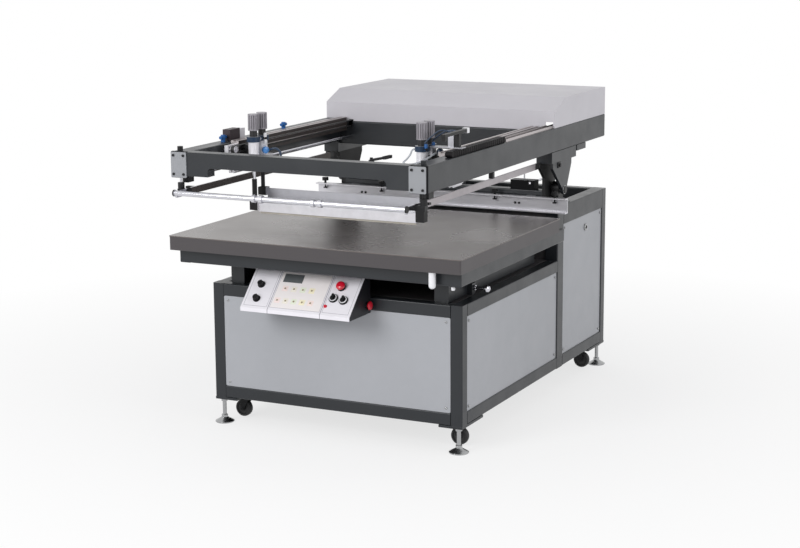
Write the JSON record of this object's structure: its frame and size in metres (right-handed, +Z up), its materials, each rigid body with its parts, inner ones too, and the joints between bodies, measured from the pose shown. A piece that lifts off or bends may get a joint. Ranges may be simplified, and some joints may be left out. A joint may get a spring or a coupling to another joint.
{
  "type": "flatbed screen printer",
  "caption": "Floor-standing flatbed screen printer: tube base with panels, flat registration table and a swing-up head on two arms with a squeegee carriage.",
  "frame": {"origin": "on the floor, under the middle of the machine's box", "axes": "+Z up, +Y from the control panel at the front to the hinge at the rear, +X to the right"},
  "size_m": [1.26, 1.9639, 1.27],
  "materials": {
    "charcoal_paint": "satin powder coat",
    "silver_paint": "satin enamel",
    "cover_paint": "satin enamel",
    "deck_paint": "matt enamel",
    "stainless_face": "brushed stainless face on a light core",
    "chrome": "polished",
    "aluminium": "anodised",
    "black_plastic": "matt",
    "white_plastic": "gloss",
    "red_plastic": "gloss",
    "blower_metal": "cast, painted",
    "black_metal": "matt black",
    "steel": "zinc plated",
    "belt_rubber": "matt",
    "blade_rubber": "smooth",
    "wheel_rubber": "matt",
    "fascia_film": "printed film"
  },
  "bodies": {
    "base": {"base_posts": "charcoal_paint", "base_rails": "charcoal_paint", "cross_rails": "charcoal_paint", "mounting_plates": "charcoal_paint", "levelling_feet": "chrome", "body_panels": "silver_paint", "base_deck": "deck_paint", "pillow_blocks": "black_metal", "lift_cylinder": "aluminium", "vacuum_blower": "blower_metal", "control_box": "charcoal_paint", "control_fascia": "fascia_film", "panel_fittings": "black_plastic"},
    "table_slide": {"table_subframe": "charcoal_paint"},
    "table": {"table_top": "stainless_face", "table_handle": "white_plastic"},
    "registration_knob": {"registration_knob": "chrome"},
    "head": {"head_arms": "charcoal_paint", "front_beam": "charcoal_paint", "rear_beam": "charcoal_paint", "head_cover": "cover_paint", "end_plates": "silver_paint", "swing_brackets": "charcoal_paint", "pivot_pins": "steel", "hinge_tube": "charcoal_paint", "clamp_rail": "aluminium", "head_screws": "black_metal", "guide_beams": "aluminium", "guide_shafts": "chrome", "drive_motor": "blower_metal", "drive_belt": "belt_rubber", "arm_fittings": "aluminium", "stop_rod": "black_metal"},
    "carriage": {"carriage_beam": "aluminium", "bearing_blocks": "aluminium", "print_cylinders": "aluminium", "energy_chain": "black_plastic"},
    "squeegee": {"squeegee_holder": "aluminium", "squeegee_rods": "steel", "squeegee_blade": "blade_rubber"},
    "flood": {"flood_bar": "steel"},
    "stop_button": {"stop_button": "red_plastic"},
    "side_button": {"side_button": "red_plastic"},
    "selector_left": {"selector_left": "black_plastic"},
    "selector_right": {"selector_right": "black_plastic"},
    "speed_knob_upper": {"speed_knob_upper": "black_plastic"},
    "speed_knob_lower": {"speed_knob_lower": "black_plastic"},
    "lift_rod": {"lift_rod": "chrome"},
    "drive_pulley": {"drive_pulley": "aluminium"},
    "belt_idler": {"belt_idler": "aluminium"},
    "safety_bar": {"safety_bar": "chrome"},
    "clamp_lever": {"clamp_lever": "black_plastic"},
    "caster_fork_front_left": {"caster_fork_front_left": "steel"},
    "caster_wheel_front_left": {"caster_wheel_front_left": "wheel_rubber"},
    "caster_fork_front_right": {"caster_fork_front_right": "steel"},
    "caster_wheel_front_right": {"caster_wheel_front_right": "wheel_rubber"},
    "caster_fork_rear_left": {"caster_fork_rear_left": "steel"},
    "caster_wheel_rear_left": {"caster_wheel_rear_left": "wheel_rubber"},
    "caster_fork_rear_right": {"caster_fork_rear_right": "steel"},
    "caster_wheel_rear_right": {"caster_wheel_rear_right": "wheel_rubber"}
  },
  "joints": [
    {"name": "head_swing", "type": "hinge", "parent": "base", "child": "head", "pos_m": [0, 0.473, 0.875], "axis": [-1, 0, 0], "range_deg": [0, 22]},
    {"name": "lift_stroke", "type": "slide", "parent": "base", "child": "lift_rod", "axis": [0, 0, 1], "range_m": [-0.06, 0]},
    {"name": "safety_bar_lift", "type": "slide", "parent": "head", "child": "safety_bar", "axis": [0, 0, 1], "range_m": [0, 0.012]},
    {"name": "carriage_travel", "type": "slide", "parent": "head", "child": "carriage", "axis": [0, 1, 0], "range_m": [0, 0.7]},
    {"name": "drive_pulley_spin", "type": "hinge", "parent": "head", "child": "drive_pulley", "pos_m": [-0.418, 0.455, 1.132], "axis": [1, 0, 0], "range_deg": [-5, 3280]},
    {"name": "belt_idler_spin", "type": "hinge", "parent": "head", "child": "belt_idler", "pos_m": [-0.418, -0.647, 1.132], "axis": [1, 0, 0], "range_deg": [-5, 3280]},
    {"name": "squeegee_lift", "type": "slide", "parent": "carriage", "child": "squeegee", "axis": [0, 0, 1], "range_m": [-0.07, 0]},
    {"name": "flood_lift", "type": "slide", "parent": "carriage", "child": "flood", "axis": [0, 0, 1], "range_m": [-0.085, 0]},
    {"name": "clamp_lever_turn", "type": "hinge", "parent": "carriage", "child": "clamp_lever", "pos_m": [0.136, -0.547, 1.095], "axis": [0, 0, 1], "range_deg": [0, 90]},
    {"name": "table_shift_y", "type": "slide", "parent": "base", "child": "table_slide", "axis": [0, 1, 0], "range_m": [-0.008, 0.008]},
    {"name": "table_shift_x", "type": "slide", "parent": "table_slide", "child": "table", "axis": [1, 0, 0], "range_m": [-0.008, 0.008]},
    {"name": "registration_knob_turn", "type": "hinge", "parent": "base", "child": "registration_knob", "pos_m": [0.52, -0.395, 0.61], "axis": [1, 0, 0], "range_deg": [-725, 725]},
    {"name": "stop_button_press", "type": "slide", "parent": "base", "child": "stop_button", "axis": [0, 0.7071, -0.7071], "range_m": [0, 0.0045], "stiffness_N_per_m": 500, "springref_m": -0.004},
    {"name": "side_button_press", "type": "slide", "parent": "base", "child": "side_button", "axis": [-1, 0, 0], "range_m": [0, 0.004], "stiffness_N_per_m": 300, "springref_m": -0.003},
    {"name": "selector_left_turn", "type": "hinge", "parent": "base", "child": "selector_left", "pos_m": [0.067, -0.73785, 0.59215], "axis": [0, -0.7071, 0.7071], "range_deg": [-45, 45]},
    {"name": "selector_right_turn", "type": "hinge", "parent": "base", "child": "selector_right", "pos_m": [0.112, -0.74138, 0.58862], "axis": [0, -0.7071, 0.7071], "range_deg": [-45, 45]},
    {"name": "speed_knob_upper_turn", "type": "hinge", "parent": "base", "child": "speed_knob_upper", "pos_m": [-0.263, -0.71522, 0.61478], "axis": [0, -0.7071, 0.7071], "range_deg": [-135, 135]},
    {"name": "speed_knob_lower_turn", "type": "hinge", "parent": "base", "child": "speed_knob_lower", "pos_m": [-0.259, -0.76189, 0.56811], "axis": [0, -0.7071, 0.7071], "range_deg": [-135, 135]},
    {"name": "caster_fork_front_left_swivel", "type": "hinge", "parent": "base", "child": "caster_fork_front_left", "pos_m": [-0.474, -0.498, 0.1], "axis": [0, 0, 1], "continuous": true},
    {"name": "caster_wheel_front_left_roll", "type": "hinge", "parent": "caster_fork_front_left", "child": "caster_wheel_front_left", "pos_m": [-0.488, -0.498, 0.04], "axis": [0, 1, 0], "continuous": true},
    {"name": "caster_fork_front_right_swivel", "type": "hinge", "parent": "base", "child": "caster_fork_front_right", "pos_m": [0.474, -0.498, 0.1], "axis": [0, 0, 1], "continuous": true},
    {"name": "caster_wheel_front_right_roll", "type": "hinge", "parent": "caster_fork_front_right", "child": "caster_wheel_front_right", "pos_m": [0.488, -0.498, 0.04], "axis": [0, 1, 0], "continuous": true},
    {"name": "caster_fork_rear_left_swivel", "type": "hinge", "parent": "base", "child": "caster_fork_rear_left", "pos_m": [-0.474, 0.849, 0.1], "axis": [0, 0, 1], "continuous": true},
    {"name": "caster_wheel_rear_left_roll", "type": "hinge", "parent": "caster_fork_rear_left", "child": "caster_wheel_rear_left", "pos_m": [-0.488, 0.849, 0.04], "axis": [0, 1, 0], "continuous": true},
    {"name": "caster_fork_rear_right_swivel", "type": "hinge", "parent": "base", "child": "caster_fork_rear_right", "pos_m": [0.474, 0.849, 0.1], "axis": [0, 0, 1], "continuous": true},
    {"name": "caster_wheel_rear_right_roll", "type": "hinge", "parent": "caster_fork_rear_right", "child": "caster_wheel_rear_right", "pos_m": [0.488, 0.849, 0.04], "axis": [0, 1, 0], "continuous": true}
  ],
  "couplings": [
    {"joint": "lift_stroke", "follows": "head_swing", "m_per_rad": -0.149},
    {"joint": "drive_pulley_spin", "follows": "carriage_travel", "rad_per_m": 81.633},
    {"joint": "belt_idler_spin", "follows": "carriage_travel", "rad_per_m": 81.633},
    {"joint": "registration_knob_turn", "follows": "table_shift_x", "rad_per_m": 1570.8}
  ]
}
